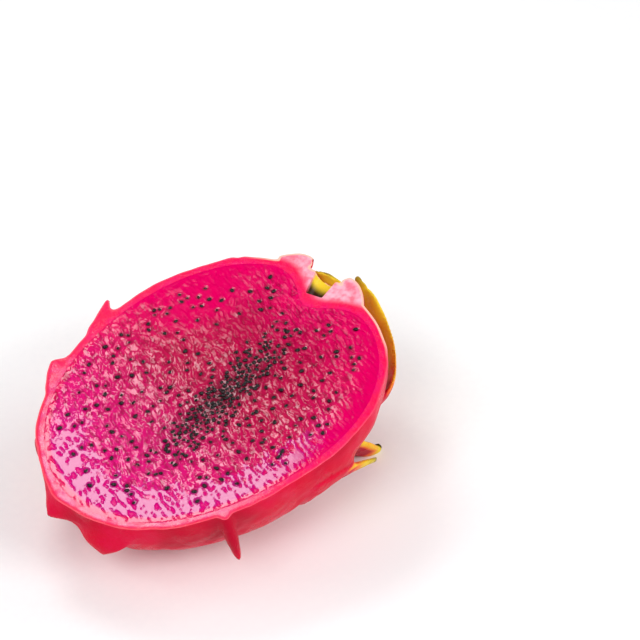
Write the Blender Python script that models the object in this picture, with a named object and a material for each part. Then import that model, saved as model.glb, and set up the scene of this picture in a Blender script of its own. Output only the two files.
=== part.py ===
"""Half of a red dragon fruit, cut lengthwise, lying on its back and propped on two of its own scales.

The fruit is modelled in its own frame: +X runs along the fruit to its blossom end, +Y across it, and
the cut is the plane z = 0 with the fruit below it. An empty then sets it down the way it rests, with
+Z up and the floor at z = 0. Lengths are in metres and angles in degrees.
"""

import math
import random

import bmesh
import bpy
from mathutils import Matrix, Vector

MM = 0.001

# The fruit's body is half of an ovoid. Each lobe swells or draws in its outline by a share of the
# radius: how often it comes round, then its cosine and sine parts.
HALF_LENGTH = 55 * MM
HALF_WIDTH = 44 * MM
DEPTH = 37.5 * MM
LOBES = ((0, -0.005, 0), (1, -0.005, -0.005), (2, -0.009, -0.003), (3, -0.022, -0.001), (4, -0.010, 0.007))
RIND = 2.4 * MM
GAP = 0.3 * MM

# How it rests: the blossom end is raised, and the rind is pressed flat by SINK where it meets the floor.
PITCH = 9.9
ROLL = 2.2
SINK = 1.1 * MM

# The navel is the pit that the dried flower leaves at the blossom end. It opens along the fruit, turned
# a little aside, and the flesh keeps back from it by a dent.
NAVEL_BOTTOM = Vector((44.2, 3.4, 0)) * MM
NAVEL_MOUTH = Vector((62, 11.8, 1.5)) * MM
NAVEL_RADII = (2.4 * MM, 7.6 * MM)
DENT = 0.185
DENT_CENTRE = 5.0
DENT_WIDTH = 15.0

# Seeds show as dark grains in the cut, crowded along the core and absent under the rind.
SEED_LENGTH = 1.7 * MM
SEED_WIDTH = 1.2 * MM
SEED_PROUD = 0.35 * MM
SEED_COUNT = 210
SEED_SPACING = 2.4 * MM
SEED_BORDER = 0.90
SEED_TO_NAVEL = 13 * MM
CORE_SHARE = 0.34
CORE_LENGTH = 21 * MM
CORE_WIDTH = 6.5 * MM
CORE_CENTRE = (2 * MM, -6 * MM)
CORE_TURN = 8.0
RANDOM_START = 11

# Mesh fineness.
RIM_STEPS = 72
BOWL_STEPS = 14
BLADE_STEPS = 8
SECTION_STEPS = 12
PIT_STEPS = 20
FAR = 0.2
TALL = 12 * MM

# Each scale grows from the skin at an azimuth round the fruit (0 is the blossom end, 180 the stem end)
# and an angle below the cut, out to its tip, which is in millimetres. Width and thickness are those of
# its foot, blunt is the thickness of its tip, and bow is how far its middle bulges outwards, all in
# millimetres. The cut has sliced through the scales whose tips lie near z = 0.
SCALES = {
    "rim_low": dict(azimuth=122, below=1, tip=(-23.6, 42.0, -0.6), width=13, thick=5.0, blunt=2.6, bow=0.4),
    "rim_high": dict(azimuth=96, below=1, tip=(2.4, 48.7, -0.8), width=15, thick=6.4, blunt=1.3, bow=0.2),
    "crown_left": dict(azimuth=31, below=2, tip=(53.4, 12.2, -0.8), width=14, thick=4.4, blunt=2.6, bow=1.2),
    "crown_right": dict(azimuth=-12, below=2, tip=(54.8, 1.6, -0.4), width=12, thick=4.6, blunt=2.6, bow=0.8),
    "flank": dict(azimuth=-58, below=13, tip=(60.4, 2.8, -5.0), width=16, thick=3.6, blunt=1.0, bow=6.4, taper=0.5),
    "front_spike": dict(azimuth=-122, below=7, tip=(-27.4, -39.0, -18.4), width=8, thick=6, blunt=2.0, bow=0.6),
    "stem_front": dict(azimuth=-164, below=9, tip=(-53.6, -13.4, -12.4), width=20, thick=6, blunt=2.6, bow=1.0),
    "stem_corner": dict(azimuth=176, below=5, tip=(-57.9, 3.6, -6.6), width=14, thick=4.4, blunt=2.6, bow=0.4),
    "crown_behind": dict(azimuth=12, below=22, tip=(56.2, 11.5, -8.0), width=17, thick=3.2, blunt=1.0, bow=1.0),
    "crown_back": dict(azimuth=42, below=24, tip=(61.0, 20.0, -18.0), width=20, thick=3.6, blunt=1.0, bow=3.0),
    "belly_front": dict(azimuth=-86, below=38, tip=(27.0, -37.0, -27.0), width=23, thick=3.8, blunt=1.0, bow=-0.8),
    "belly_back": dict(azimuth=80, below=30, tip=(34.0, 42.0, -21.0), width=23, thick=3.8, blunt=1.0, bow=-0.5),
    "belly_stem": dict(azimuth=132, below=40, tip=(-3.0, 37.0, -31.0), width=22, thick=3.8, blunt=1.0, bow=-0.5),
    "stem_back": dict(azimuth=152, below=20, tip=(-34.0, 34.0, -19.0), width=17, thick=3.8, blunt=1.2, bow=0.5),
    "prop_front": dict(azimuth=-50, below=52, tip=(39.0, -24.0, -45.6), width=18, thick=4.4, blunt=2.4, bow=1.0),
    "prop_back": dict(azimuth=46, below=52, tip=(39.0, 22.0, -47.4), width=18, thick=4.4, blunt=2.4, bow=1.0),
}
SCALE_SINK = 2.0 * MM
SCALE_CUP = 0.10
SCALE_TAPER = 0.8


def clear_scene():
    for obj in list(bpy.data.objects):
        bpy.data.objects.remove(obj, do_unlink=True)


def skin_material(name, colour, roughness):
    material = bpy.data.materials.new(name)
    material.use_nodes = True
    shader = material.node_tree.nodes["Principled BSDF"]
    shader.inputs["Base Color"].default_value = (*colour, 1.0)
    shader.inputs["Roughness"].default_value = roughness
    shader.inputs["Metallic"].default_value = 0.0
    material.diffuse_color = (*colour, 1.0)
    return material


def mesh_object(name, mesh, collection=None):
    obj = bpy.data.objects.new(name, mesh)
    (collection or bpy.context.scene.collection).objects.link(obj)
    return obj


def loft(name, rings, collection=None):
    """A closed mesh through rings of equally many points, with a face over each end."""
    bm = bmesh.new()
    rows = [[bm.verts.new(point) for point in ring] for ring in rings]
    count = len(rows[0])
    for first, second in zip(rows, rows[1:]):
        for i in range(count):
            j = (i + 1) % count
            bm.faces.new((first[i], first[j], second[j], second[i]))
    bm.faces.new(rows[0])
    bm.faces.new(rows[-1])
    bmesh.ops.recalc_face_normals(bm, faces=bm.faces)
    mesh = bpy.data.meshes.new(name)
    bm.to_mesh(mesh)
    bm.free()
    return mesh_object(name, mesh, collection)


def block(name, centre, size):
    bm = bmesh.new()
    bmesh.ops.create_cube(bm, size=size)
    bm.transform(Matrix.Translation(centre))
    mesh = bpy.data.meshes.new(name)
    bm.to_mesh(mesh)
    bm.free()
    return mesh_object(name, mesh)


def boolean(obj, name, operation, other):
    """Joins obj with, or cuts it by, one object or a collection of them, and keeps the result."""
    modifier = obj.modifiers.new(name, "BOOLEAN")
    modifier.operation = operation
    modifier.solver = "EXACT"
    if isinstance(other, bpy.types.Collection):
        modifier.operand_type = "COLLECTION"
        modifier.collection = other
    else:
        modifier.object = other
    graph = bpy.context.evaluated_depsgraph_get()
    mesh = bpy.data.meshes.new_from_object(obj.evaluated_get(graph))
    obj.modifiers.clear()
    obj.data = mesh


def remove_collection(collection):
    for obj in list(collection.objects):
        bpy.data.objects.remove(obj, do_unlink=True)
    bpy.data.collections.remove(collection)


def dent(azimuth):
    away = math.degrees(math.remainder(azimuth, math.tau)) - DENT_CENTRE
    return DENT * math.exp(-((away / DENT_WIDTH) ** 2))


def skin_point(azimuth, below, inset=0.0, dented=0.0):
    """A point of the skin, or of the surface that lies inset under it."""
    flat = math.cos(below)
    share = 1.0
    for times, cosine, sine in LOBES:
        share += flat * (cosine * math.cos(times * azimuth) + sine * math.sin(times * azimuth))
    share -= dented * flat * dent(azimuth)
    return Vector((
        (HALF_LENGTH * share - inset) * flat * math.cos(azimuth),
        (HALF_WIDTH * share - inset) * flat * math.sin(azimuth),
        -(DEPTH - inset) * math.sin(below),
    ))


def skin_normal(point):
    return Vector((point.x / HALF_LENGTH**2, point.y / HALF_WIDTH**2, point.z / DEPTH**2)).normalized()


def bowl_rings(inset, rise, dented):
    """Rings of the body from its lowest point up to the cut, and straight on above the cut by rise."""
    rings = []
    for row in range(1, BOWL_STEPS + 1):
        below = math.pi / 2 * (1 - row / BOWL_STEPS)
        turns = [math.tau * step / RIM_STEPS for step in range(RIM_STEPS)]
        rings.append([skin_point(azimuth, below, inset, dented) for azimuth in turns])
    if rise:
        rings.append([point + Vector((0, 0, rise)) for point in rings[-1]])
    return rings


def blade_width(share, taper):
    """Half width of a scale, as a share of its foot's, from its foot (0) to its tip (1)."""
    return (1 - share) ** taper * (1 + 0.25 * share) + 0.075 * share


def scale_blade(name, spec, collection):
    """A pointed scale: a lens-shaped section carried along a bowed midrib, thinner to its tip."""
    root = skin_point(math.radians(spec["azimuth"]), math.radians(spec["below"]))
    out = skin_normal(root)
    foot = root - out * SCALE_SINK
    tip = Vector(spec["tip"]) * MM
    control = (foot + tip) / 2 + out * spec["bow"] * MM * 2
    side = out.cross(tip - foot).normalized()
    rings = []
    for step in range(BLADE_STEPS + 1):
        share = step / BLADE_STEPS
        middle = foot * (1 - share) ** 2 + control * 2 * share * (1 - share) + tip * share**2
        forward = ((control - foot) * (1 - share) + (tip - control) * share).normalized()
        up = forward.cross(side)
        half_width = spec["width"] * MM / 2 * blade_width(share, spec.get("taper", SCALE_TAPER))
        half_thick = (spec["thick"] * (1 - share) + spec["blunt"] * share) * MM / 2
        ring = []
        for k in range(SECTION_STEPS):
            turn = math.tau * (k + 0.5) / SECTION_STEPS
            x = math.cos(turn)
            cup = SCALE_CUP * half_width * (0.5 - x * x)
            ring.append(middle + side * (half_width * x) + up * (half_thick * math.sin(turn) + cup))
        rings.append(ring)
    return loft(name, rings, collection)


def seed_places():
    """Where seeds show in the cut, and how each is turned. They crowd along the core and never come
    closer together than their spacing."""
    draw = random.Random(RANDOM_START)
    core = math.radians(CORE_TURN)
    places = []
    while len(places) < SEED_COUNT:
        if draw.random() < CORE_SHARE:
            along, across = draw.gauss(0, CORE_LENGTH / 2), draw.gauss(0, CORE_WIDTH / 2)
            x = CORE_CENTRE[0] + along * math.cos(core) - across * math.sin(core)
            y = CORE_CENTRE[1] + along * math.sin(core) + across * math.cos(core)
        else:
            x, y = draw.uniform(-HALF_LENGTH, HALF_LENGTH), draw.uniform(-HALF_WIDTH, HALF_WIDTH)
        spin = draw.uniform(0, math.pi)
        edge = math.hypot(x / (HALF_LENGTH - RIND), y / (HALF_WIDTH - RIND))
        if edge > SEED_BORDER or (Vector((x, y, 0)) - NAVEL_BOTTOM - Vector((4 * MM, 0, 0))).length < SEED_TO_NAVEL:
            continue
        if all(math.hypot(x - px, y - py) > SEED_SPACING for px, py, _ in places):
            places.append((x, y, spin))
    return places


def make_flesh(material):
    flesh = loft("flesh", bowl_rings(RIND + GAP, 0, 1.0))
    seeds = bpy.data.collections.new("seeds")
    bpy.context.scene.collection.children.link(seeds)
    for x, y, spin in seed_places():
        bm = bmesh.new()
        bmesh.ops.create_icosphere(bm, subdivisions=1, radius=0.5)
        size = Matrix.Diagonal((SEED_LENGTH, SEED_WIDTH, SEED_WIDTH, 1))
        place = Matrix.Translation((x, y, SEED_PROUD - SEED_WIDTH / 2))
        bm.transform(place @ Matrix.Rotation(spin, 4, "Z") @ size)
        mesh = bpy.data.meshes.new("seed")
        bm.to_mesh(mesh)
        bm.free()
        mesh_object("seed", mesh, seeds)
    boolean(flesh, "seeds", "UNION", seeds)
    remove_collection(seeds)
    flesh.data.materials.clear()
    flesh.data.materials.append(material)
    return flesh


def navel_pit():
    """A round pit that widens outwards."""
    along = (NAVEL_MOUTH - NAVEL_BOTTOM).normalized()
    across = along.cross(Vector((0, 0, 1))).normalized()
    over = across.cross(along)
    rings = []
    for centre, radius in zip((NAVEL_BOTTOM, NAVEL_MOUTH), NAVEL_RADII):
        turns = [math.tau * (k + 0.5) / PIT_STEPS for k in range(PIT_STEPS)]
        rings.append([centre + (across * math.cos(t) + over * math.sin(t)) * radius for t in turns])
    return loft("navel", rings)


def make_rind(material):
    rind = loft("rind", bowl_rings(0, TALL, 0.0))
    scales = bpy.data.collections.new("scales")
    bpy.context.scene.collection.children.link(scales)
    for name, spec in SCALES.items():
        scale_blade(name, spec, scales)
    boolean(rind, "scales", "UNION", scales)
    remove_collection(scales)
    cavity = loft("cavity", bowl_rings(RIND, TALL * 2, 1.0))
    above = block("above_cut", (0, 0, FAR / 2), FAR)
    for name, cutter in (("cavity", cavity), ("navel", navel_pit()), ("cut", above)):
        boolean(rind, name, "DIFFERENCE", cutter)
        bpy.data.objects.remove(cutter)
    rind.data.materials.clear()
    rind.data.materials.append(material)
    return rind


def set_down(rind, flesh):
    """Turns the fruit the way it rests, with the floor at z = 0, and centres its plan on the origin."""
    rest = bpy.data.objects.new("rest", None)
    bpy.context.scene.collection.objects.link(rest)
    rest.rotation_euler = (math.radians(ROLL), -math.radians(PITCH), 0)
    rind.parent = rest
    flesh.parent = rest
    down = rest.rotation_euler.to_matrix().transposed() @ Vector((0, 0, -1))
    reach = math.sqrt((HALF_LENGTH * down.x) ** 2 + (HALF_WIDTH * down.y) ** 2 + (DEPTH * down.z) ** 2)
    rest.location.z = reach - SINK
    floor = block("floor", (0, 0, -FAR / 2), FAR)
    floor.hide_render = True
    floor.display_type = "WIRE"
    cut = rind.modifiers.new("floor", "BOOLEAN")
    cut.operation = "DIFFERENCE"
    cut.solver = "EXACT"
    cut.object = floor
    bpy.context.view_layer.update()
    graph = bpy.context.evaluated_depsgraph_get()
    corners = [rind.matrix_world @ v.co for v in rind.evaluated_get(graph).data.vertices]
    for axis in (0, 1):
        values = [c[axis] for c in corners]
        rest.location[axis] = -(min(values) + max(values)) / 2


def main():
    clear_scene()
    flesh = make_flesh(skin_material("flesh", (0.72, 0.01, 0.16), 0.25))
    rind = make_rind(skin_material("rind", (0.75, 0.05, 0.15), 0.45))
    set_down(rind, flesh)
    for obj in (rind, flesh):
        obj.data.shade_smooth()
        obj.data.set_sharp_from_angle(angle=math.radians(40))


main()
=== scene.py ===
import math
import random

import bmesh
import bpy
import numpy as np
from mathutils import Euler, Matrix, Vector


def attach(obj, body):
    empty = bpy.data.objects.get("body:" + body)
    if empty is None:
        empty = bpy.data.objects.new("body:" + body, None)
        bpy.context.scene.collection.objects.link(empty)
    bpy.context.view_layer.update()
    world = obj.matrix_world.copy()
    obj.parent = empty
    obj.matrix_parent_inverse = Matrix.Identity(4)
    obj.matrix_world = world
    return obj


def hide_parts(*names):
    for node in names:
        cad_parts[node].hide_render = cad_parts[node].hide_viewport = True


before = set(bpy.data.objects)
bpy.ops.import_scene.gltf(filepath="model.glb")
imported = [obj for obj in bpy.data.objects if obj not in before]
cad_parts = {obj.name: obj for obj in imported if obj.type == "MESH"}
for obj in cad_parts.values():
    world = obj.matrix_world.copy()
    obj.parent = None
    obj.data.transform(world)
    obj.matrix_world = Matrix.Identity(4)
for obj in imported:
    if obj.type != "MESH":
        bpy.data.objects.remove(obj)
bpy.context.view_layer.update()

# Every length below is in millimetres in the fruit's own frame: x runs along it to the blossom end,
# y across it, and the knife cut is the plane z = 0 with the fruit below. A lobe is how often it goes
# round, then its cosine and sine as shares of the radius. The dent is only in the flesh, in degrees.
fruit = dict(halfLength=55.0, halfWidth=44.0, depth=37.5, rind=2.4,
             lobes=((0, -0.005, 0), (1, -0.005, -0.005), (2, -0.009, -0.003), (3, -0.022, -0.001),
                    (4, -0.010, 0.007)),
             dent=0.185, dentCentre=5.0, dentWidth=15.0)

# How it lies on the floor
resting = dict(pitch=9.9, roll=2.2, origin=(-3.2193, -2.5528, 37.0426))
restTurn = np.array(Euler((math.radians(resting["roll"]), -math.radians(resting["pitch"]), 0)).to_matrix())


def toFloor(points):
    # fruit millimetres to scene metres
    return (np.asarray(points) @ restTurn.T + np.array(resting["origin"])) * 0.001


def smoothStep(value, low, high):
    t = np.clip((value - low) / (high - low), 0, 1)
    return t * t * (3 - 2 * t)


def lobeSum(azimuth, dented):
    total = np.zeros_like(azimuth)
    for times, cosine, sine in fruit["lobes"]:
        total += cosine * np.cos(times * azimuth) + sine * np.sin(times * azimuth)
    if dented:
        away = np.degrees(np.angle(np.exp(1j * azimuth))) - fruit["dentCentre"]
        total -= fruit["dent"] * np.exp(-((away / fruit["dentWidth"]) ** 2))
    return total


def skinPoint(azimuth, below, inset=0.0, dented=False):
    azimuth = np.asarray(azimuth, float)
    flat = np.cos(below)
    share = 1 + flat * lobeSum(azimuth, dented)
    return np.stack([(fruit["halfLength"] * share - inset) * flat * np.cos(azimuth),
                     (fruit["halfWidth"] * share - inset) * flat * np.sin(azimuth),
                     -(fruit["depth"] - inset) * np.sin(below) + 0 * azimuth], -1)


def bodyDistance(x, y, z, inset=0.0, dented=False):
    # about how far a point lies outside the fruit's body, or inside it where negative
    a, b, d = fruit["halfLength"], fruit["halfWidth"], fruit["depth"] - inset
    z = np.minimum(z, 0)
    swell = lobeSum(np.arctan2(y / b, x / a), dented)
    share = np.ones_like(x)
    for _ in range(4):
        size = np.sqrt((x / (a * share - inset)) ** 2 + (y / (b * share - inset)) ** 2 + (z / d) ** 2) + 1e-6
        flat = np.sqrt(np.clip(1 - (z / d / size) ** 2, 0, 1))
        share = 1 + flat * swell
    ax, by = a * share - inset, b * share - inset
    slope = np.sqrt(x**2 / ax**4 + y**2 / by**4 + z**2 / d**4) / size + 1e-6
    return (size - 1) / slope


noiseCells = 256     # both noises below repeat after this many cells


def smoothNoise(x, y, seed):
    # plain gradient noise on the plane, about -0.7 to 0.7
    table = np.random.RandomState(seed).uniform(0, 2 * math.pi, (noiseCells, noiseCells))
    ix, iy = np.floor(x).astype(int), np.floor(y).astype(int)
    fx, fy = x - ix, y - iy

    def corner(dx, dy):
        angle = table[(ix + dx) % noiseCells, (iy + dy) % noiseCells]
        return np.cos(angle) * (fx - dx) + np.sin(angle) * (fy - dy)

    u = fx**3 * (fx * (fx * 6 - 15) + 10)
    v = fy**3 * (fy * (fy * 6 - 15) + 10)
    low = corner(0, 0) * (1 - u) + corner(1, 0) * u
    high = corner(0, 1) * (1 - u) + corner(1, 1) * u
    return low * (1 - v) + high * v


def facetHeight(x, y, seed, sharpness=22, steepness=1.4, unevenness=0.12):
    # cells of about one unit, each tilted its own way, with softened borders
    draw = np.random.RandomState(seed)
    pairs = (noiseCells, noiseCells, 2)
    place, tilt = draw.uniform(0, 1, pairs), draw.normal(0, 1, pairs)
    level = draw.uniform(-1, 1, pairs[:2])
    ix, iy = np.floor(x).astype(int), np.floor(y).astype(int)
    total, weights = 0, 1e-9
    for dx in (-1, 0, 1):
        for dy in (-1, 0, 1):
            i, j = (ix + dx) % noiseCells, (iy + dy) % noiseCells
            awayX, awayY = x - ix - dx - place[i, j, 0], y - iy - dy - place[i, j, 1]
            weight = np.exp(-sharpness * (awayX**2 + awayY**2))
            slant = tilt[i, j, 0] * awayX + tilt[i, j, 1] * awayY * steepness
            total = total + weight * (slant + unevenness * level[i, j])
            weights = weights + weight
    return total / weights


def meshPiece(name, points, faces, material, attributes=None):
    mesh = bpy.data.meshes.new(name)
    mesh.from_pydata([tuple(p) for p in points], [], faces)
    mesh.update()
    for key, values in (attributes or {}).items():
        layer = mesh.attributes.new(key, "FLOAT", "POINT")
        layer.data.foreach_set("value", np.asarray(values, np.float32))
    for each in (material if isinstance(material, list) else [material]):
        mesh.materials.append(each)
    mesh.shade_smooth()
    piece = bpy.data.objects.new(name, mesh)
    bpy.context.scene.collection.objects.link(piece)
    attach(piece, "root")
    return piece


# shader groups and helpers


def feed(tree, socket, value):
    # a link where the value comes from another node, or else a plain setting
    if isinstance(value, bpy.types.NodeSocket):
        tree.links.new(value, socket)
    else:
        socket.default_value = value


def addNode(tree, kind, settings=None, **inputs):
    # inputs by name, with _ for a space, or by number as i0, i1
    node = tree.nodes.new(kind)
    for key, value in (settings or {}).items():
        setattr(node, key, value)
    for key, value in inputs.items():
        numbered = key[0] == "i" and key[1:].isdigit()
        feed(tree, node.inputs[int(key[1:]) if numbered else key.replace("_", " ")], value)
    return node


def colour(red, green, blue):
    # an 8-bit screen colour as a linear shader colour
    shares = (c / 255 for c in (red, green, blue))
    return tuple(((s + 0.055) / 1.055) ** 2.4 if s > 0.04 else s / 12.92 for s in shares) + (1,)


def mathNode(tree, operation, first, second, clamp=False):
    settings = dict(operation=operation, use_clamp=clamp)
    return addNode(tree, "ShaderNodeMath", settings, i0=first, i1=second).outputs[0]


def add(tree, first, second):
    return mathNode(tree, "ADD", first, second)


def multiply(tree, first, second, clamp=False):
    return mathNode(tree, "MULTIPLY", first, second, clamp)


def mixColour(tree, factor, first, second):
    # sockets 6 and 7 of the mix node are its two colours, and output 2 is the colour that comes out
    return addNode(tree, "ShaderNodeMix", dict(data_type="RGBA"), i0=factor, i6=first, i7=second).outputs[2]


def mapRange(tree, value, low, high, toLow=0.0, toHigh=1.0):
    node = addNode(tree, "ShaderNodeMapRange", dict(interpolation_type="SMOOTHSTEP"), Value=value, From_Min=low,
                   From_Max=high, To_Min=toLow, To_Max=toHigh)
    return node.outputs[0]


def attribute(tree, name):
    return addNode(tree, "ShaderNodeAttribute", dict(attribute_name=name)).outputs["Fac"]


def objectNoise(tree, scale, detail):
    where = addNode(tree, "ShaderNodeTexCoord").outputs["Object"]
    return addNode(tree, "ShaderNodeTexNoise", Vector=where, Scale=scale, Detail=detail).outputs[0]


def newGroup(name, inputs, outputs):
    group = bpy.data.node_groups.new(name, "ShaderNodeTree")
    for label, kind, value in inputs:
        socket = group.interface.new_socket(name=label, in_out="INPUT", socket_type=kind)
        socket.default_value = value
    for label, kind in outputs:
        group.interface.new_socket(name=label, in_out="OUTPUT", socket_type=kind)
    return group, group.nodes.new("NodeGroupInput").outputs, group.nodes.new("NodeGroupOutput").inputs


def makeMottleGroup():
    # two sizes of soft blotches that blend one colour into another
    group, given, made = newGroup("fruitMottle", [
        ("First Colour", "NodeSocketColor", (1, 1, 1, 1)), ("Second Colour", "NodeSocketColor", (0, 0, 0, 1)),
        ("Blotches", "NodeSocketFloat", 200.0), ("Specks", "NodeSocketFloat", 1500.0),
        ("Amount", "NodeSocketFloat", 0.5)], [("Colour", "NodeSocketColor"), ("Mask", "NodeSocketFloat")])
    where = addNode(group, "ShaderNodeTexCoord").outputs["Object"]
    big = addNode(group, "ShaderNodeTexNoise", Vector=where, Scale=given["Blotches"], Detail=3.0, Roughness=0.55)
    small = objectNoise(group, given["Specks"], 1.0)
    both = add(group, multiply(group, big.outputs[0], 0.7), multiply(group, small, 0.3))
    mask = mapRange(group, both, 0.38, 0.62)
    share = multiply(group, mask, given["Amount"], True)
    feed(group, made["Colour"], mixColour(group, share, given["First Colour"], given["Second Colour"]))
    feed(group, made["Mask"], mask)
    return group


def makeGrainGroup():
    # fine pores and soft dents as a height
    group, given, made = newGroup("fruitGrain", [
        ("Pores", "NodeSocketFloat", 2000.0), ("Dents", "NodeSocketFloat", 300.0),
        ("Pore Depth", "NodeSocketFloat", 0.4), ("Dent Depth", "NodeSocketFloat", 0.6),
        ("Stretch", "NodeSocketVector", (1, 1, 1))], [("Height", "NodeSocketFloat")])
    where = addNode(group, "ShaderNodeTexCoord").outputs["Object"]
    drawn = addNode(group, "ShaderNodeVectorMath", dict(operation="MULTIPLY"), i0=where, i1=given["Stretch"])
    pores = addNode(group, "ShaderNodeTexNoise", Vector=drawn.outputs[0], Scale=given["Pores"], Detail=2.0)
    dents = addNode(group, "ShaderNodeTexNoise", Vector=drawn.outputs[0], Scale=given["Dents"], Detail=3.0)
    feed(group, made["Height"], add(group, multiply(group, pores.outputs[0], given["Pore Depth"]),
                                    multiply(group, dents.outputs[0], given["Dent Depth"])))
    return group


def makeMoistureGroup():
    # roughness that drops where juice stands on the surface
    group, given, made = newGroup("fruitMoisture", [
        ("Dry", "NodeSocketFloat", 0.5), ("Wet", "NodeSocketFloat", 0.15), ("Size", "NodeSocketFloat", 250.0),
        ("Wetness", "NodeSocketFloat", 0.5)], [("Roughness", "NodeSocketFloat"), ("Wet Mask", "NodeSocketFloat")])
    raised = add(group, objectNoise(group, given["Size"], 2.0), mathNode(group, "SUBTRACT", given["Wetness"], 0.5))
    mask = mapRange(group, raised, 0.4, 0.6)
    spread = multiply(group, mask, mathNode(group, "SUBTRACT", given["Wet"], given["Dry"]))
    feed(group, made["Roughness"], add(group, given["Dry"], spread))
    feed(group, made["Wet Mask"], mask)
    return group


mottleGroup = makeMottleGroup()
grainGroup = makeGrainGroup()
moistureGroup = makeMoistureGroup()


def useGroup(tree, group, **values):
    node = tree.nodes.new("ShaderNodeGroup")
    node.node_tree = group
    for key, value in values.items():
        feed(tree, node.inputs[key.replace("_", " ")], value)
    return node.outputs


def newMaterial(name, **constants):
    # constants by the name of the shader's socket, with _ for a space
    material = bpy.data.materials.new(name)
    material.use_nodes = True
    tree = material.node_tree
    shader = tree.nodes["Principled BSDF"]
    for key, value in constants.items():
        shader.inputs[key.replace("_", " ")].default_value = value
    return material, tree, shader


def addBump(tree, shader, height, strength, distance):
    bump = addNode(tree, "ShaderNodeBump", Height=height, Strength=strength, Distance=distance)
    feed(tree, shader.inputs["Normal"], bump.outputs[0])


# rind and its scales

rindLook = dict(
    cell=0.6,             # mesh cell
    blend=4.0,            # how far a scale's foot flows into the skin
    lump=0.30,            # height of the soft lumps of the skin
    roof=2.2,             # how far above the cut the skin's field is closed
    wallDepth=3.5,        # how far below the cut the wall against the flesh is kept
    smoothing=5,          # rounds of smoothing
    pink=colour(208, 4, 46), deepPink=colour(178, 2, 40), rosePink=colour(214, 16, 64), bloom=colour(228, 48, 92),
    orange=colour(240, 108, 48), yellow=colour(236, 200, 48), olive=colour(184, 170, 52), dryTip=colour(92, 62, 34),
    cutPink=colour(212, 30, 112), cutDeep=colour(232, 2, 84), cutRed=colour(240, 10, 60),
    rimRed=colour(224, 16, 66), fleshEdge=colour(228, 0, 98), flapPale=colour(248, 178, 196),
    # the pit colour is painted shade for the navel's hollow
    # the salmon colour is a painted highlight along the cut's very edge
    cream=colour(252, 196, 170), edgeHighlight=colour(248, 116, 130), pit=colour(54, 26, 12),
    roughness=0.34)

# Each scale: at, the azimuth round the fruit and the angle below the cut, then its tip, the width and
# thickness of its foot, the thickness of its tip, its bow, and green, the share of its length where it
# starts to turn green. Some have their own taper, span of that turn, or blend. A scale that stands apart
# isn't hollowed by the navel.
scales = [
    dict(at=(122, 1), tip=(-23.6, 42.0, -0.6), width=13, thick=5.0, blunt=2.6, bow=0.4, green=1.3),
    dict(at=(96, 1), tip=(2.4, 48.7, -0.8), width=15, thick=6.4, blunt=1.3, bow=0.2, green=1.3),
    dict(at=(25, 2), tip=(53.3, 13.6, -0.4), width=14, thick=10.5, blunt=4.0, bow=0.6, green=1.2, blend=2.0),
    dict(at=(-9, 2), tip=(54.7, 1.0, -0.4), width=12, thick=7.6, blunt=3.4, bow=0.8, green=1.2, blend=1.2),
    dict(at=(-51.5, 30), tip=(60.4, 2.8, -5.0), width=21.3, thick=3.6, blunt=1.0, bow=9.0, green=-0.3, taper=0.7,
         span=1.9, blend=1.6, thinFoot=True),
    dict(at=(-121, 1), tip=(-27.6, -39.2, -17.6), width=5, thick=7, blunt=2.4, bow=1.0, green=1.1, taper=0.5,
         blend=0.9),
    dict(at=(-164, 9), tip=(-53.6, -13.4, -12.4), width=20, thick=6, blunt=2.6, bow=1.0, green=1.0, blend=2.5),
    dict(at=(176, 5), tip=(-57.9, 3.6, -6.6), width=14, thick=4.4, blunt=2.6, bow=0.4, green=1.2),
    dict(at=(11, 20), tip=(54.4, 9.2, -3.4), width=15, thick=3.0, blunt=1.4, bow=1.5, green=-0.3, taper=0.25,
         span=1.8, blend=1.0, apart=True),
    dict(at=(42, 24), tip=(61.0, 20.0, -18.0), width=20, thick=3.6, blunt=1.0, bow=3.0, green=0.45),
    dict(at=(-86, 38), tip=(27.0, -37.0, -27.0), width=23, thick=3.8, blunt=1.0, bow=-0.8, green=0.55),
    dict(at=(80, 30), tip=(34.0, 42.0, -21.0), width=23, thick=3.8, blunt=1.0, bow=-0.5, green=0.5),
    dict(at=(132, 40), tip=(-3.0, 37.0, -31.0), width=22, thick=3.8, blunt=1.0, bow=-0.5, green=0.55),
    dict(at=(152, 20), tip=(-34.0, 34.0, -19.0), width=17, thick=3.8, blunt=1.2, bow=0.5, green=0.55),
    dict(at=(-50, 52), tip=(39.0, -24.0, -45.6), width=18, thick=4.4, blunt=2.4, bow=1.0, green=0.6),
    dict(at=(46, 52), tip=(39.0, 22.0, -47.4), width=18, thick=4.4, blunt=2.4, bow=1.0, green=0.6),
]
scaleForm = dict(sink=2.0, steps=48, taper=0.8, cup=0.10, thinEdge=0.22, leastWidth=0.75, leastThick=0.7)
navel = dict(bottom=(44.0, 3.6, 0), mouth=(62.6, 10.0, 1.5), radii=(2.8, 5.4))


def scaleShape(scale):
    # the scale's midrib as sample points, and its axes
    azimuth, below = (math.radians(v) for v in scale["at"])
    root = skinPoint(azimuth, below)
    out = root / np.array([fruit["halfLength"], fruit["halfWidth"], fruit["depth"]]) ** 2
    out /= np.linalg.norm(out)
    foot = root - out * scaleForm["sink"]
    tip = np.array(scale["tip"], float)
    control = (foot + tip) / 2 + out * scale["bow"] * 2
    side = np.cross(out, tip - foot)
    side /= np.linalg.norm(side)
    share = np.linspace(0, 1, scaleForm["steps"] + 1)[:, None]
    middle = foot * (1 - share) ** 2 + control * 2 * share * (1 - share) + tip * share**2
    along = ((control - foot) * (1 - share) + (tip - control) * share) * 2
    speed = np.linalg.norm(along, axis=1)
    along /= speed[:, None]
    return middle, along, np.cross(along, side), side, speed


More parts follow.
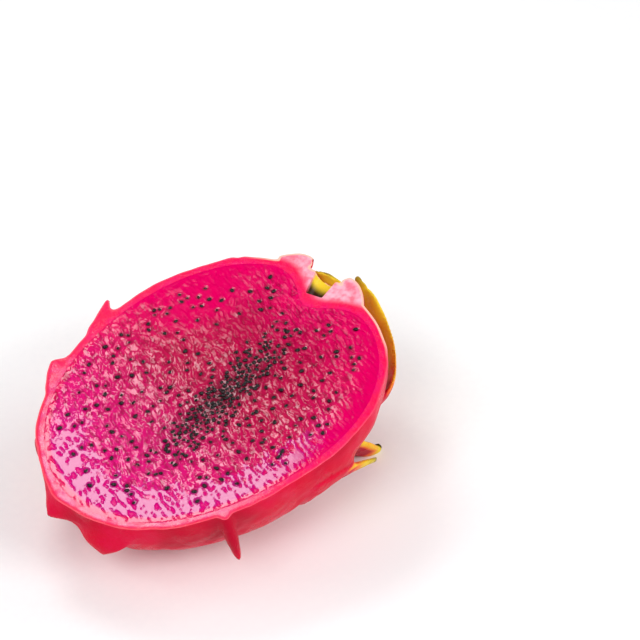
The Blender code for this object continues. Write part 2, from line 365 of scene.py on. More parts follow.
def scaleDistance(scale, points):
    # distance outside the scale, the share of the way to its tip, and how near its edge (0 to 1)
    form = scaleForm
    middle, along, up, side, speed = scaleShape(scale)
    nearest = np.empty(len(points), int)
    batch = 60000
    for start in range(0, len(points), batch):
        part = points[start:start + batch]
        flat = part - (part @ side)[:, None] * side
        rib = middle - (middle @ side)[:, None] * side
        gap = (flat**2).sum(1)[:, None] + (rib**2).sum(1)[None, :] - 2 * flat @ rib.T
        nearest[start:start + batch] = gap.argmin(1)
    away = points - middle[nearest]
    forward = (away * along[nearest]).sum(1)
    share = nearest / form["steps"] + forward / speed[nearest]
    past = (np.maximum(share - 1, 0) + np.maximum(-share - 0.1, 0)) * speed[nearest]
    share = np.clip(share, 0, 1)
    taper = (1 - share) ** scale.get("taper", form["taper"])
    halfWidth = scale["width"] / 2 * (taper * (1 + 0.25 * share) + 0.075 * share)
    halfWidth = np.maximum(halfWidth, form["leastWidth"])
    halfThick = np.maximum((scale["thick"] * (1 - share) + scale["blunt"] * share) / 2, form["leastThick"])
    if scale.get("thinFoot"):
        halfThick = np.maximum(halfThick * (0.3 + 0.7 * smoothStep(share, 0.0, 0.3)), 0.5)
        halfWidth = halfWidth * (0.6 + 0.4 * smoothStep(share, 0.0, 0.25))
    across = away @ side
    x = across / halfWidth
    height = (away * up[nearest]).sum(1) - form["cup"] * halfWidth * (0.5 - np.clip(x, -1.3, 1.3) ** 2)
    thick = halfThick * (1 - form["thinEdge"] * np.clip(x, -1, 1) ** 2)
    size = np.sqrt(x**2 + (height / thick) ** 2) + 1e-4
    slope = np.sqrt((across / halfWidth**2) ** 2 + (height / thick**2) ** 2) / size + 1e-4
    distance = (size - 1) / slope
    distance = np.where(past > 0, np.sqrt(np.maximum(distance, 0) ** 2 + past**2), distance)
    return distance, share, np.clip(np.abs(x), 0, 1)


def blendTogether(first, second, reach):
    mix = np.clip(0.5 + 0.5 * (second - first) / reach, 0, 1)
    return second * (1 - mix) + first * mix - reach * mix * (1 - mix)


def skinLumps(x, y, z):
    # soft unevenness of the skin, finer ripples on broader ones
    broad = np.sin(x * 0.21 + 1.3 * np.sin(y * 0.17 + 0.6)) * np.sin(y * 0.24 + 1.1 * np.sin(z * 0.2 + x * 0.08))
    fine = np.sin(x * 0.55 + 2 * np.sin(z * 0.31)) * np.sin(y * 0.61 + 1.7 * np.sin(x * 0.27 + 2))
    fine = fine * np.sin(z * 0.5 + 1)
    return broad + 0.45 * fine


def navelDistance(x, y, z):
    bottom, mouth = np.array(navel["bottom"]), np.array(navel["mouth"])
    axis = mouth - bottom
    length = np.linalg.norm(axis)
    axis /= length
    dx, dy, dz = x - bottom[0], y - bottom[1], z - bottom[2]
    along = dx * axis[0] + dy * axis[1] + dz * axis[2]
    radial = np.sqrt(np.maximum(dx**2 + dy**2 + dz**2 - along**2, 0))
    radius = navel["radii"][0] + (navel["radii"][1] - navel["radii"][0]) * along / length
    wall = (radial - radius) * 0.96
    return np.sqrt(np.maximum(wall, 0) ** 2 + np.maximum(-along, 0) ** 2) + np.minimum(np.maximum(wall, -along), 0)


def buildFields():
    step = rindLook["cell"]
    low = np.array([-63.0, -50.0, step * (round(-52 / step) - 0.5)])
    count = [int(130 / step), int(106 / step), int((-low[2] + 3 * step) / step) + 1]
    axes = [low[i] + step * np.arange(count[i]) for i in range(3)]
    x, y, z = (v.astype(np.float32) for v in np.meshgrid(*axes, indexing="ij"))
    outer = bodyDistance(x, y, z)
    apart = np.full(x.shape, 9.0, np.float32)
    for scale in scales:
        middle = scaleShape(scale)[0]
        blend = scale.get("blend", rindLook["blend"])
        reach = scale["width"] / 2 + blend + 2
        first = [max(int((middle[:, i].min() - reach - low[i]) / step), 0) for i in range(3)]
        last = [min(int((middle[:, i].max() + reach - low[i]) / step) + 2, count[i]) for i in range(3)]
        part = tuple(slice(f, l) for f, l in zip(first, last))
        points = np.stack([x[part].ravel(), y[part].ravel(), z[part].ravel()], -1).astype(float)
        near = scaleDistance(scale, points)[0].reshape(x[part].shape)
        if scale.get("apart"):
            apart[part] = np.minimum(apart[part], near)
            continue
        outer[part] = blendTogether(outer[part], near, blend)
    outer -= rindLook["lump"] * skinLumps(x, y, z)
    outer = np.maximum(outer, z - rindLook["roof"])
    inner = bodyDistance(x, y, z, fruit["rind"], True)
    pit = navelDistance(x, y, z)
    # a scale that stands apart behind the navel isn't hollowed by it
    apart = np.maximum(np.maximum(apart, z + 0.5), 0.4 - inner)
    return dict(low=low, step=step, outer=outer.astype(np.float32), inner=inner.astype(np.float32),
                pit=pit.astype(np.float32), apart=apart.astype(np.float32), plane=z)


cellCorners = [(dx, dy, dz) for dx in (0, 1) for dy in (0, 1) for dz in (0, 1)]


def sampleField(grid, fields, points):
    # the value between the grid's points
    place = (points - fields["low"]) / fields["step"]
    place = np.clip(place, 0, np.array(grid.shape) - 1.001)
    cell = np.floor(place).astype(int)
    f = place - cell
    sides = [(1 - f[:, i], f[:, i]) for i in range(3)]
    total = 0
    for c in cellCorners:
        weight = sides[0][c[0]] * sides[1][c[1]] * sides[2][c[2]]
        total = total + weight * grid[tuple((cell + c).T)]
    return total


def fieldSlope(grid, fields, points):
    gap = fields["step"] * 0.5
    rises = [sampleField(grid, fields, points + shift) - sampleField(grid, fields, points - shift)
             for shift in np.eye(3) * gap]
    return np.stack(rises, -1) / (2 * gap)


def netSurface(values, fields):
    # a net of quads through the cells where the values change sign
    inside = values < 0
    n = np.array(values.shape) - 1

    def at(grid, c):
        return grid[c[0]:c[0] + n[0], c[1]:c[1] + n[1], c[2]:c[2] + n[2]]

    number = sum(at(inside, c).astype(np.int8) for c in cellCorners)
    active = np.argwhere((number > 0) & (number < 8))
    index = np.full(tuple(n), -1, np.int32)
    index[tuple(active.T)] = np.arange(len(active))
    total = np.zeros((len(active), 3))
    found = np.zeros(len(active))
    for c in cellCorners:
        for axis in range(3):
            if c[axis]:
                continue
            other = list(c)
            other[axis] = 1
            v0, v1 = (values[tuple((active + e).T)] for e in (c, other))
            crossing = (v0 < 0) != (v1 < 0)
            t = np.where(crossing, v0 / np.where(crossing, v0 - v1, 1), 0)
            point = np.array(c, float)[None, :].repeat(len(active), 0)
            point[:, axis] = t
            total += point * crossing[:, None]
            found += crossing
    points = fields["low"] + (active + total / found[:, None]) * fields["step"]
    faces = []
    loops = {0: ((0, -1, -1), (0, 0, -1), (0, 0, 0), (0, -1, 0)),
             1: ((-1, 0, -1), (-1, 0, 0), (0, 0, 0), (0, 0, -1)),
             2: ((-1, -1, 0), (0, -1, 0), (0, 0, 0), (-1, 0, 0))}
    for axis in range(3):
        first = [slice(1, -1)] * 3
        second = [slice(1, -1)] * 3
        first[axis], second[axis] = slice(0, -1), slice(1, None)
        a, b = inside[tuple(first)], inside[tuple(second)]
        where = np.argwhere(a != b)
        offset = np.ones(3, int)
        offset[axis] = 0
        cells = where + offset
        quad = np.stack([index[tuple((cells + np.array(step)).T)] for step in loops[axis]], -1)
        flip = ~a[tuple(where.T)]
        quad[flip] = quad[flip][:, ::-1]
        faces.append(quad)
    return points, np.concatenate(faces), active


def neighbourSums(points, edges, use):
    total = np.zeros_like(points)
    found = np.zeros(len(points))
    a, b = edges[use].T
    for first, second in ((a, b), (b, a)):
        np.add.at(total, first, points[second])
        np.add.at(found, first, 1)
    return total, found


def largestPart(faces):
    # the faces that hang together edge to edge, without the crumbs that only touch them
    edges = np.sort(np.stack([faces, np.roll(faces, -1, 1)], -1).reshape(-1, 2), 1)
    which, count = np.unique(edges, axis=0, return_inverse=True, return_counts=True)[1:]
    which = which.ravel()
    order = np.argsort(which, kind="stable")
    owner = np.repeat(np.arange(len(faces)), faces.shape[1])[order]
    pairs = owner[count[which[order]] == 2].reshape(-1, 2)
    label = np.arange(len(faces))
    changed = True
    while changed:
        before = label.copy()
        lowest = label[pairs].min(1)
        np.minimum.at(label, pairs[:, 0], lowest)
        np.minimum.at(label, pairs[:, 1], lowest)
        label = label[label]
        changed = (label != before).any()
    names, sizes = np.unique(label, return_counts=True)
    return faces[label == names[sizes.argmax()]]


def growRind():
    fields = buildFields()
    outer, inner, pit, plane = fields["outer"], fields["inner"], fields["pit"], fields["plane"]
    apart = fields["apart"]
    solid = np.minimum(np.maximum(np.maximum(outer, plane), np.maximum(-inner, -pit)), apart)
    points, faces, cells = netSurface(solid, fields)

    def spans(grid):
        # whether a surface passes through each point's cell
        values = np.stack([grid[tuple((cells + c).T)] for c in cellCorners])
        return (values.min(0) < 0) & (values.max(0) > 0)

    onPlane = spans(plane) & ~spans(apart)
    walls = [(outer, spans(outer)), (-inner, spans(inner)), (-pit, spans(pit)), (apart, spans(apart))]
    levels = np.stack([sampleField(grid, fields, points) for grid, _ in walls[:3]])
    own = levels.argmax(0)
    own[np.abs(sampleField(apart, fields, points)) < 0.25] = 3
    crease = onPlane & (walls[0][1] | walls[1][1] | walls[2][1]) & (levels.max(0) > -fields["step"])
    edges = np.concatenate([faces[:, [0, 1]], faces[:, [1, 2]], faces[:, [2, 3]], faces[:, [3, 0]]])
    edges = np.unique(np.sort(edges, 1), axis=0)
    both = crease[edges].all(1)
    for _ in range(rindLook["smoothing"]):
        total, found = neighbourSums(points, edges, slice(None))
        plain = points * 0.45 + 0.55 * total / np.maximum(found, 1)[:, None]
        total, found = neighbourSums(points, edges, both)
        lined = np.where(found[:, None] > 1, points * 0.4 + 0.6 * total / np.maximum(found, 1)[:, None], points)
        points = np.where(crease[:, None], lined, plain)
        points[onPlane, 2] = 0
        for k, (grid, _) in enumerate(walls):
            chosen = (own == k) & (~onPlane | crease)
            place = points[chosen]
            for _ in range(2):
                slope = fieldSlope(grid, fields, place)
                slope[onPlane[chosen], 2] = 0
                level = sampleField(grid, fields, place)
                steepness = np.maximum((slope**2).sum(1), 0.15)
                place = place - slope * (np.clip(level, -0.5, 0.5) / steepness)[:, None]
            points[chosen] = place
        points[onPlane, 2] = 0
    # the wall against the flesh is only kept near the cut
    deep = (own == 1) & (points[:, 2] < -rindLook["wallDepth"])
    faces = largestPart(faces[~deep[faces].all(1)])
    used = np.unique(faces)
    renumber = np.full(len(points), -1)
    renumber[used] = np.arange(len(used))
    faces = renumber[faces]
    return points[used], faces, own[used], onPlane[used], fields


def scaleMarks(points):
    # for each point: how green, how near a scale's edge, and how far along a scale
    green = np.zeros(len(points))
    edge = np.zeros(len(points))
    along = np.zeros(len(points))
    proud = bodyDistance(points[:, 0], points[:, 1], points[:, 2])
    for scale in scales:
        distance, share, rim = scaleDistance(scale, points)
        belongs = smoothStep(distance, 1.1, 0.2)
        freed = 0.25 + 0.75 * smoothStep(proud, 0.4, 2.8)
        if scale["green"] < 0:      # a golden scale, pink only at its foot
            freed = freed * smoothStep(share, 0.1, 0.46)
        turned = np.clip((share - scale["green"]) / scale.get("span", 0.42), 0, 1)
        green = np.maximum(green, belongs * freed * turned)
        if scale["green"] < 1:
            edge = np.maximum(edge, belongs * smoothStep(rim, 0.72, 0.98) * smoothStep(proud, 0.6, 2.5))
        along = np.maximum(along, belongs * share * smoothStep(proud, 0.2, 3.0))
    return green, edge, along


def makeSkinMaterial():
    material, tree, shader = newMaterial(
        "waxySkin", Specular_IOR_Level=0.05, Subsurface_Weight=0.06, Subsurface_Radius=(0.0025, 0.0007, 0.0007),
        Subsurface_Scale=1.0)
    look = rindLook
    base = useGroup(tree, mottleGroup, First_Colour=look["pink"], Second_Colour=look["rosePink"], Blotches=90.0,
                    Specks=1400.0, Amount=0.75)["Colour"]
    veins = objectNoise(tree, 38.0, 2.0)
    base = mixColour(tree, mapRange(tree, veins, 0.5, 0.72), base, look["deepPink"])
    base = mixColour(tree, mapRange(tree, veins, 0.46, 0.3, 0.0, 0.5), base, look["bloom"])
    # the scales turn from pink over orange and yellow to olive, and dry out at the very tip
    green = mathNode(tree, "MAXIMUM", attribute(tree, "green"), multiply(tree, attribute(tree, "edge"), 0.42))
    uneven = multiply(tree, mathNode(tree, "SUBTRACT", objectNoise(tree, 160.0, 3.0), 0.5), 0.35)
    green = multiply(tree, add(tree, green, uneven), mapRange(tree, green, 0.0, 0.12), True)
    tinted = mixColour(tree, mapRange(tree, green, 0.02, 0.30), base, look["orange"])
    tinted = mixColour(tree, mapRange(tree, green, 0.22, 0.55), tinted, look["yellow"])
    tinted = mixColour(tree, mapRange(tree, green, 0.55, 1.0), tinted, look["olive"])
    atTip = multiply(tree, mapRange(tree, attribute(tree, "along"), 0.93, 1.0), 0.7)
    feed(tree, shader.inputs["Base Color"], mixColour(tree, atTip, tinted, look["dryTip"]))
    wet = useGroup(tree, moistureGroup, Dry=look["roughness"] + 0.1, Wet=look["roughness"] - 0.08, Size=120.0,
                   Wetness=0.5)
    feed(tree, shader.inputs["Roughness"], wet["Roughness"])
    grain = useGroup(tree, grainGroup, Pores=1900.0, Dents=240.0, Pore_Depth=0.3, Dent_Depth=0.7)
    addBump(tree, shader, grain["Height"], 0.5, 0.0008)
    return material


def makeCutMaterial():
    material, tree, shader = newMaterial(
        "cutRind", Coat_Roughness=0.15, Specular_IOR_Level=0.12, Subsurface_Weight=0.12,
        Subsurface_Radius=(0.003, 0.001, 0.001), Subsurface_Scale=1.0)
    look = rindLook
    inward = attribute(tree, "inward")      # millimetres in from the skin
    outward = attribute(tree, "outward")    # millimetres out from the flesh
    side = mixColour(tree, mapRange(tree, outward, 0.3, 2.0), look["fleshEdge"], look["cutDeep"])
    band = mixColour(tree, attribute(tree, "stemSide"), side, look["cutPink"])
    base = useGroup(tree, mottleGroup, First_Colour=band, Second_Colour=look["cutRed"], Blotches=260.0,
                    Specks=1800.0, Amount=0.5)["Colour"]
    # the cut flaps at the blossom end are pale, with a cream line along their edge
    crown = multiply(tree, mapRange(tree, outward, 2.2, 6.0), attribute(tree, "crown"))
    fading = multiply(tree, crown, mapRange(tree, objectNoise(tree, 330.0, 3.0), 0.3, 0.62, 0.35, 1.0))
    pale = mixColour(tree, multiply(tree, fading, 0.95), base, look["flapPale"])
    rimLine = multiply(tree, mapRange(tree, inward, 0.8, 0.3), attribute(tree, "crown"))
    pale = mixColour(tree, rimLine, pale, look["cream"])
    # a red line just inside the skin at the stem end, and a lighter one at the very edge that is a painted
    # highlight along the cut's rim
    pale = mixColour(tree, mapRange(tree, inward, 1.1, 0.5), pale,
                     mixColour(tree, attribute(tree, "stemSide"), pale, look["rimRed"]))
    pale = mixColour(tree, mapRange(tree, inward, 0.6, 0.15, 0.0, 0.3), pale, look["edgeHighlight"])
    # painted shade on the navel's hollow walls, darker with depth, turning yellow at its far end
    shadedHollow = mixColour(tree, attribute(tree, "behind"), look["pit"], look["yellow"])
    feed(tree, shader.inputs["Base Color"], mixColour(tree, attribute(tree, "pit"), pale, shadedHollow))
    wet = useGroup(tree, moistureGroup, Dry=0.42, Wet=0.2, Size=300.0, Wetness=0.55)
    feed(tree, shader.inputs["Roughness"], wet["Roughness"])
    juicy = add(tree, multiply(tree, wet["Wet Mask"], 0.5), 0.3)
    juicy = multiply(tree, juicy, mapRange(tree, inward, 0.7, 1.5))
    feed(tree, shader.inputs["Coat Weight"], multiply(tree, juicy, attribute(tree, "stemSide")))
    grain = useGroup(tree, grainGroup, Pores=1500.0, Dents=420.0, Pore_Depth=0.5, Dent_Depth=0.5)
    addBump(tree, shader, grain["Height"], 0.4, 0.0006)
    return material


skinMaterial = makeSkinMaterial()
cutMaterial = makeCutMaterial()

rindPoints, rindFaces, rindWall, rindOnPlane, rindFields = growRind()
print("rind:", len(rindPoints), "points,", len(rindFaces), "quads")
rindX, rindY, rindZ = rindPoints.T
rindMarks = dict(zip(("green", "edge", "along"), scaleMarks(rindPoints)))
rindMarks.update(inward=-sampleField(rindFields["outer"], rindFields, rindPoints),
                 outward=sampleField(rindFields["inner"], rindFields, rindPoints),
                 # how deep a point lies in the navel's hollow, for its painted shade
                 pit=(rindWall == 2) * smoothStep(-rindZ, 0.1, 1.2),
                 behind=smoothStep(rindX + 0.2 * rindY, 47.5, 51.0),
                 crown=smoothStep(rindX, 40, 47), stemSide=smoothStep(rindX, 0, -42))
placedRind = toFloor(rindPoints)
placedRind[:, 2] = np.maximum(placedRind[:, 2], 0)
rindPiece = meshPiece("rindPiece", placedRind, rindFaces.tolist(), [skinMaterial, cutMaterial], rindMarks)
cutFace = rindOnPlane[rindFaces].all(1) | ((rindWall[rindFaces] == 1) | (rindWall[rindFaces] == 2)).any(1)
rindPiece.data.polygons.foreach_set("material_index", cutFace.astype(np.int32))
rindPiece.data.set_sharp_from_angle(angle=math.radians(42))
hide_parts("rind")

# flesh

fleshLook = dict(
    rings=176,                                  # rings of the mesh
    halfLength=52.6, halfWidth=41.6,            # of the cut flesh
    overlap=0.6,                                # how far it reaches under the rind
    gap=0.35, rows=10,                          # between bowl and rind, and rows of the bowl's mesh
    coreMiddle=(1, -5), coreSize=(17, 5),       # of the dark core
    relief=0.18, filmRelief=0.10,               # heights, bare and under juice
    fibre=(1.05, 2.8), streak=(0.95, 3.6),      # widths and lengths
    grain=(0.52, 1.05), pit=(1.0, 3.2),
    seedDip=0.16, dipEnd=1.25, shadeEnd=1.4,    # depth and outer radii of the dip round a seed
    seedEdge=0.6,                               # and its inner radius
    filmAngle=-147, filmSpread=(84, 56), filmRing=(0.74, 0.79),
    # deep is painted shade in the relief's grooves, and the furrow colour is painted shade round each seed
    magenta=colour(202, 0, 84), hotPink=colour(216, 0, 88), deep=colour(126, 0, 38), crimson=colour(164, 0, 56),
    violet=colour(220, 0, 130), underFilm=colour(172, 0, 124), core=colour(58, 0, 18), furrowShade=colour(96, 0, 30),
    roughness=0.2)

seedLook = dict(length=1.6, width=1.1, proud=0.34, border=0.90, notch=(48.2, 3.4), notchReach=13,
                count=210, spacing=2.4, extra=190, extraSpacing=1.0,
                coreShare=0.34, coreLength=21, coreWidth=6.5, coreCentre=(2, -6), coreTurn=8.0,
                extraCoreShare=0.88, extraCoreLength=28, extraCoreWidth=7, extraCoreCentre=(1, -5),
                black=colour(10, 5, 8), brown=colour(46, 24, 30))


def ringShare(x, y):
    # 0 at the middle of the cut flesh, 1 at its rim
    return np.hypot(x / fleshLook["halfLength"], y / fleshLook["halfWidth"])


def seedPlaces():
    # the seeds of the solid first, in the same places, then the ones between them
    look = seedLook
    draw = random.Random(11)
    places = []
    total = look["count"]
    spacing, coreShare = look["spacing"], look["coreShare"]
    length, width, centre = look["coreLength"], look["coreWidth"], look["coreCentre"]
    turn = math.radians(look["coreTurn"])
    while len(places) < total + look["extra"]:
        if len(places) == total:
            spacing, coreShare = look["extraSpacing"], look["extraCoreShare"]
            length, width, centre = look["extraCoreLength"], look["extraCoreWidth"], look["extraCoreCentre"]
        if draw.random() < coreShare:
            along, across = draw.gauss(0, length / 2), draw.gauss(0, width / 2)
            x = centre[0] + along * math.cos(turn) - across * math.sin(turn)
            y = centre[1] + along * math.sin(turn) + across * math.cos(turn)
        else:
            x = draw.uniform(-fruit["halfLength"], fruit["halfLength"])
            y = draw.uniform(-fruit["halfWidth"], fruit["halfWidth"])
        spin = draw.uniform(0, math.pi)
        if ringShare(x, y) > look["border"] or math.dist((x, y), look["notch"]) < look["notchReach"]:
            continue
        if all(math.hypot(x - px, y - py) > spacing for px, py, _ in places):
            places.append((x, y, spin))
    return places


seeds = seedPlaces()
seedSpots = np.array(seeds)[:, :2]


def filmShare(x, y):
    # where juice stands as a smooth film: along the rim at the stem end, on the near side
    look = fleshLook
    angle = np.degrees(np.arctan2(y / look["halfWidth"], x / look["halfLength"])) - look["filmAngle"]
    around = smoothStep(np.abs(np.degrees(np.angle(np.exp(1j * np.radians(angle))))), *look["filmSpread"])
    ragged = 0.13 * smoothNoise(x / 3.6, y / 3.6, 3) + 0.10 * smoothNoise(x / 1.3, y / 2.2, 33)
    edge = smoothStep(ringShare(x, y) + ragged, *look["filmRing"])
    return np.clip(around * edge, 0, 1)


def calmShare(x, y):
    # where the flesh is smooth and seldom glints: a patch on the far side, and along the rim at the blossom end
    patch = smoothStep(np.hypot((x - 24) / 19, (y - 28) / 11) + 0.6 * smoothNoise(x / 3, y / 5, 21), 1.5, 0.45)
    rim = smoothStep(ringShare(x, y) + 0.12 * smoothNoise(x / 3, y / 3, 22), 0.8, 0.98) * smoothStep(x, -15, 10)
    return np.clip(np.maximum(patch, rim), 0, 1)


def coreShareAt(x, y):
    middle, size = fleshLook["coreMiddle"], fleshLook["coreSize"]
    return np.exp(-((x - middle[0]) / size[0]) ** 2 - ((y - middle[1]) / size[1]) ** 2)


def fleshRelief(x, y):
    # the height of the cut flesh, and the marks that its material needs
    look = fleshLook
    # fibres run across the fruit, from the core out to the rim
    alongX = x + (1.6 * smoothNoise(x / 11, y / 11, 5) + 0.3 * smoothNoise(x / 2, y / 2.5, 15) - 0.24 * y)
    alongY = y + 1.0 * smoothNoise(x / 7 + 40, y / 7, 6)

    def drawn(size, seed, shift=0):
        return smoothNoise(alongX / size[0] + shift, alongY / size[1], seed)

    streak, small = drawn(look["streak"], 7), drawn(look["grain"], 8)
    gentle = 0.35 * smoothNoise(x / 4.5, y / 4.5, 9) + 0.18 * small
    film, calm = filmShare(x, y), calmShare(x, y)
    pits = smoothStep(drawn(look["pit"], 12, 9) + 0.34 * small, 0.16, 0.24)
    smooth = look["filmRelief"] * (gentle * 0.35 - 1.3 * pits)
    facets = facetHeight(alongX / look["fibre"][0], alongY / look["fibre"][1], 17)
    fibres = facets + 0.25 * small - 0.35 * smoothStep(streak, -0.1, -0.3)
    rough = (look["relief"] * fibres + 0.1 * gentle - 0.05) * (1 - 0.6 * calm)
    # a mark for painted shade, low in the relief's sunken streaks and in the film's pits
    furrowShade = np.tanh((streak + 0.6 * small + 0.05) * 4) * (1 - film) + (1 - 1.1 * pits) * film
    # the flesh dips round each seed
    nearest = np.full(x.shape, 9.0)
    for px, py in seedSpots:
        close = np.abs(x - px) < 2
        nearest[close] = np.minimum(nearest[close], np.hypot(x[close] - px, y[close] - py))
    dip = look["seedDip"] * smoothStep(nearest, look["dipEnd"], look["seedEdge"])
    marks = dict(film=film * (1 - pits), pits=film * pits, calm=calm, furrowShade=furrowShade * (1 - 0.8 * calm),
                 seedShade=smoothStep(nearest, look["shadeEnd"], look["seedEdge"]))
    return rough * (1 - film) + smooth * film - dip, marks


def growFlesh():
    look = fleshLook
    rings = look["rings"]
    points = [np.zeros((1, 3))]
    starts = [0]
    for k in range(1, rings + 1):
        turn = 2 * math.pi * np.arange(6 * k) / (6 * k)
        rim = skinPoint(turn, 0.0, fruit["rind"] - look["overlap"], True)
        starts.append(starts[-1] + len(points[-1]))
        points.append(rim * (k / rings))
    faces = []
    for k in range(1, rings + 1):
        inner, outer = starts[k - 1], starts[k]
        for sixth in range(6):
            for j in range(k):
                a = outer + (sixth * k + j) % (6 * k)
                b = outer + (sixth * k + j + 1) % (6 * k)
                c = inner + ((sixth * (k - 1) + j) % (6 * (k - 1)) if k > 1 else 0)
                faces.append((c, a, b))
                if j < k - 1:
                    d = inner + (sixth * (k - 1) + j + 1) % (6 * (k - 1))
                    faces.append((c, b, d))
    top = np.concatenate(points)
    ring = np.concatenate([[0.0]] + [np.full(6 * k, k / rings) for k in range(1, rings + 1)])
    x, y = top[:, 0], top[:, 1]
    relief, marks = fleshRelief(x, y)
    # just proud of the cut, and under it at the rim
    top[:, 2] = relief * smoothStep(ring, 0.99, 0.95) + 0.03 - 0.07 * smoothStep(ring, 0.97, 1.0)
    marks.update(core=coreShareAt(x, y), stemSide=smoothStep(x, 5, -40),
                 dry=np.maximum(marks["calm"], 0.78 * smoothStep(x + 0.3 * y, -4, 34)))
    # the bowl below, out of sight in the rind
    rows, around, inset = look["rows"], rings, fruit["rind"] + look["gap"]
    bowl = []
    for row in range(1, rows):
        turn = 2 * math.pi * np.arange(around) / around
        bowl.append(skinPoint(turn, math.pi / 2 * row / rows, inset, True))
    bowl.append(skinPoint(np.zeros(1), math.pi / 2, inset, True))
    base = len(top)
    rim = starts[rings]
    for j in range(around):
        fan = [rim + (6 * j + i) % (6 * rings) for i in range(7)]
        faces.append(tuple([base + j] + [base + (j + 1) % around] + fan[::-1]))
    for row in range(rows - 2):
        for j in range(around):
            a, b = base + row * around + j, base + row * around + (j + 1) % around
            faces.append((a, a + around, b + around, b))
    bottom = base + (rows - 1) * around
    for j in range(around):
        a, b = base + (rows - 2) * around + j, base + (rows - 2) * around + (j + 1) % around
        faces.append((a, bottom, b))
    lower = np.concatenate(bowl)
    marks = {name: np.append(values, np.zeros(len(lower))) for name, values in marks.items()}
    marks["ring"] = np.append(ring, np.ones(len(lower)))
    return np.concatenate([top, lower]), faces, marks


def makeFleshMaterial():
    material, tree, shader = newMaterial(
        "wetFlesh", Coat_Roughness=0.09, Specular_IOR_Level=0.0, Subsurface_Weight=0.1,
        Subsurface_Radius=(0.003, 0.0006, 0.001), Subsurface_Scale=1.0)
    look = fleshLook
    base = useGroup(tree, mottleGroup, First_Colour=look["magenta"], Second_Colour=look["hotPink"], Blotches=110.0,
                    Specks=900.0, Amount=0.8)["Colour"]

    def mark(name, share=None):
        value = attribute(tree, name)
        return multiply(tree, value, share) if share else value

    inside = mapRange(tree, mark("ring"), 0.95, 0.45)
    ripe = mapRange(tree, mark("stemSide"), 0.0, 1.0, 0.75, 0.5)
    # painted shade: darker where the relief runs low, and round each seed
    low = mapRange(tree, mark("furrowShade"), 0.2, -0.9, 0.0, 0.5)
    for share, tint in ((multiply(tree, inside, ripe), "crimson"), (mark("stemSide", 0.6), "violet"),
                        (mark("film", 0.7), "underFilm"), (mark("calm", 0.7), "hotPink"),
                        (mapRange(tree, mark("ring"), 0.94, 0.965), "hotPink"), (low, "deep"),
                        (mark("core", 0.75), "core"), (mark("seedShade", 0.45), "furrowShade")):
        base = mixColour(tree, share, base, look[tint])
    feed(tree, shader.inputs["Base Color"], base)
    wet = useGroup(tree, moistureGroup, Dry=look["roughness"] + 0.04, Wet=look["roughness"] - 0.06, Size=380.0,
                   Wetness=add(tree, mark("film", 0.4), 0.5))
    feed(tree, shader.inputs["Roughness"], add(tree, wet["Roughness"], mark("pits", 0.35)))
    # juice lies over all but the dry zones and the pits in the film, and gathers round each seed
    drops = add(tree, multiply(tree, wet["Wet Mask"], 0.4), 0.55)
    shine = mathNode(tree, "MAXIMUM", mark("film"), drops)
    parched = multiply(tree, mark("dry"), mapRange(tree, mark("seedShade"), 0.0, 0.5, 0.96, 0.1))
    dull = mathNode(tree, "MAXIMUM", parched, mark("pits", 0.85))
    feed(tree, shader.inputs["Coat Weight"], multiply(tree, shine, mathNode(tree, "SUBTRACT", 1.0, dull)))
    grain = useGroup(tree, grainGroup, Pores=1700.0, Dents=800.0, Pore_Depth=0.5, Dent_Depth=0.8,
                     Stretch=(1, 0.42, 1))
    still = mathNode(tree, "MAXIMUM", mark("film"), mark("calm", 0.8))
    lively = mathNode(tree, "SUBTRACT", 1.0, multiply(tree, still, 0.88))
    addBump(tree, shader, multiply(tree, grain["Height"], lively), 1.0, 0.00016)
    return material


fleshMaterial = makeFleshMaterial()
fleshPoints, fleshFaces, fleshMarks = growFlesh()
fleshPiece = meshPiece("fleshPiece", toFloor(fleshPoints), fleshFaces, fleshMaterial, fleshMarks)
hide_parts("flesh")
print("flesh:", len(fleshPoints), "points,", len(fleshFaces), "faces")

# seeds


def makeSeedMaterial():
    material, tree, shader = newMaterial("glossySeed", Specular_IOR_Level=0.3)
    base = useGroup(tree, mottleGroup, First_Colour=seedLook["black"], Second_Colour=seedLook["brown"],
                    Blotches=900.0, Specks=4000.0, Amount=0.6)
    feed(tree, shader.inputs["Base Color"], base["Colour"])
    wet = useGroup(tree, moistureGroup, Dry=0.18, Wet=0.08, Size=900.0, Wetness=0.6)
    feed(tree, shader.inputs["Roughness"], wet["Roughness"])
    grain = useGroup(tree, grainGroup, Pores=6000.0, Dents=1800.0, Pore_Depth=0.3, Dent_Depth=0.3)
    addBump(tree, shader, grain["Height"], 0.2, 0.0003)
    return material


def growSeeds():
    look = seedLook
    ball = bmesh.new()
    bmesh.ops.create_icosphere(ball, subdivisions=2, radius=0.5)
    shape = np.array([v.co[:] for v in ball.verts])
    triangles = np.array([[v.index for v in f.verts] for f in ball.faces])
    ball.free()
    shape[:, 1:] *= (1 - 0.45 * shape[:, 0:1])      # one end is slimmer
    draw = random.Random(5)
    points, faces = [], []
    for x, y, spin in seeds:
        size = draw.uniform(0.68, 1.15)
        tilt = draw.uniform(-0.35, 0.35)
        scaled = shape * np.array([look["length"], look["width"], look["width"] * 0.9]) * size
        ct, st = math.cos(tilt), math.sin(tilt)
        scaled = scaled @ np.array([[ct, 0, st], [0, 1, 0], [-st, 0, ct]])
        cs, ss = math.cos(spin), math.sin(spin)
        turned = scaled @ np.array([[cs, ss, 0], [-ss, cs, 0], [0, 0, 1]])
        lift = look["proud"] - look["width"] / 2 + draw.uniform(-0.12, 0.08)
        faces.append(triangles + len(points) * len(shape))
        points.append(turned + np.array([x, y, lift]))
    return np.concatenate(points), np.concatenate(faces)


seedPoints, seedFaces = growSeeds()
seedPiece = meshPiece("seedPiece", toFloor(seedPoints), seedFaces.tolist(), makeSeedMaterial(), None)
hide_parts("flesh")
print("seeds:", len(seeds))

# floor, light and camera

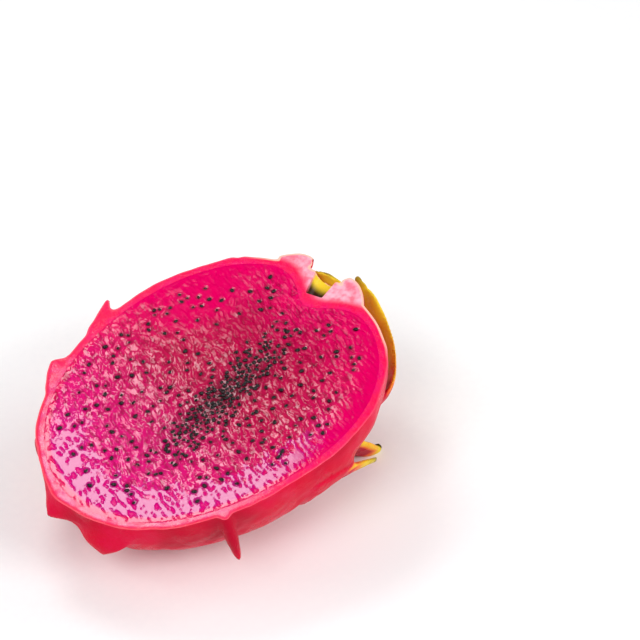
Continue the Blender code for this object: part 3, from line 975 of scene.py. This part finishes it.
studio = dict(
    camera=(-0.3362, -0.4080, 0.5019), aim=(0.02816, -0.014731, 0.051806), lens=137.8125,
    # name, the place on the cut that mirrors it (mm), distance (m), size (m) and power (W)
    mirrors=(("keyLight", (-36, -12, 0), 0.42, (0.14, 0.12), 0.42),
             ("sparkLight", (66, 34, 0), 0.50, (0.022, 0.022), 0.028)),
    # place (m), width (m) and power (W)
    fills=(((-1.2, -0.4, 1.36), 0.9, 15.0), ((0.5, -1.4, 1.0), 0.8, 15.5), ((-1.1, 0.9, 0.9), 0.7, 5.0),
           ((1.3, -0.5, 0.8), 0.8, 7.0)),
    worldColour=(0.97, 0.98, 1.0, 1), worldStrength=0.3,
    floor=colour(244, 244, 244), floorShade=colour(240, 240, 241), floorSize=3.0)


def makeFloor():
    bm = bmesh.new()
    bmesh.ops.create_grid(bm, x_segments=1, y_segments=1, size=studio["floorSize"])
    mesh = bpy.data.meshes.new("floor")
    bm.to_mesh(mesh)
    bm.free()
    floor = bpy.data.objects.new("floor", mesh)
    bpy.context.scene.collection.objects.link(floor)
    material, tree, shader = newMaterial("paleFloor", Roughness=0.8)
    pale = useGroup(tree, mottleGroup, First_Colour=studio["floor"], Second_Colour=studio["floorShade"],
                    Blotches=6.0, Specks=400.0, Amount=0.6)
    feed(tree, shader.inputs["Base Color"], pale["Colour"])
    mesh.materials.append(material)


def addSoftbox(name, place, aim, size, power):
    data = bpy.data.lights.new(name, "AREA")
    data.shape = "RECTANGLE"
    data.size, data.size_y = size
    data.energy = power
    light = bpy.data.objects.new(name, data)
    light.location = place
    light.rotation_euler = (Vector(aim) - Vector(place)).to_track_quat("-Z", "Y").to_euler()
    bpy.context.scene.collection.objects.link(light)


def makeStudio():
    look = studio
    makeFloor()
    data = bpy.data.cameras.new("camera")
    data.lens = look["lens"]
    data.sensor_width = 36
    camera = bpy.data.objects.new("camera", data)
    camera.location = look["camera"]
    camera.rotation_euler = (Vector(look["aim"]) - Vector(look["camera"])).to_track_quat("-Z", "Y").to_euler()
    bpy.context.scene.collection.objects.link(camera)
    bpy.context.scene.camera = camera
    # two lights stand where the plane of the cut mirrors them at a given place: the key light at the
    # stem end of the face, and a small one past its blossom end that only sparkles
    normal = restTurn @ np.array([0, 0, 1.0])
    for name, spot, distance, size, power in look["mirrors"]:
        spot = toFloor(np.array(spot, float))
        toCamera = np.array(look["camera"]) - spot
        toCamera /= np.linalg.norm(toCamera)
        mirrored = 2 * (toCamera @ normal) * normal - toCamera
        addSoftbox(name, tuple(spot + mirrored * distance), tuple(spot), size, power)
    for number, (position, width, power) in enumerate(look["fills"]):
        addSoftbox(f"fillLight{number}", position, (0, 0, 0.03), (width, width), power)
    world = bpy.data.worlds.new("studio")
    bpy.context.scene.world = world
    world.use_nodes = True
    background = world.node_tree.nodes["Background"]
    background.inputs["Color"].default_value = look["worldColour"]
    background.inputs["Strength"].default_value = look["worldStrength"]
    bpy.context.scene.view_settings.view_transform = "Standard"


makeStudio()
print("studio ready")
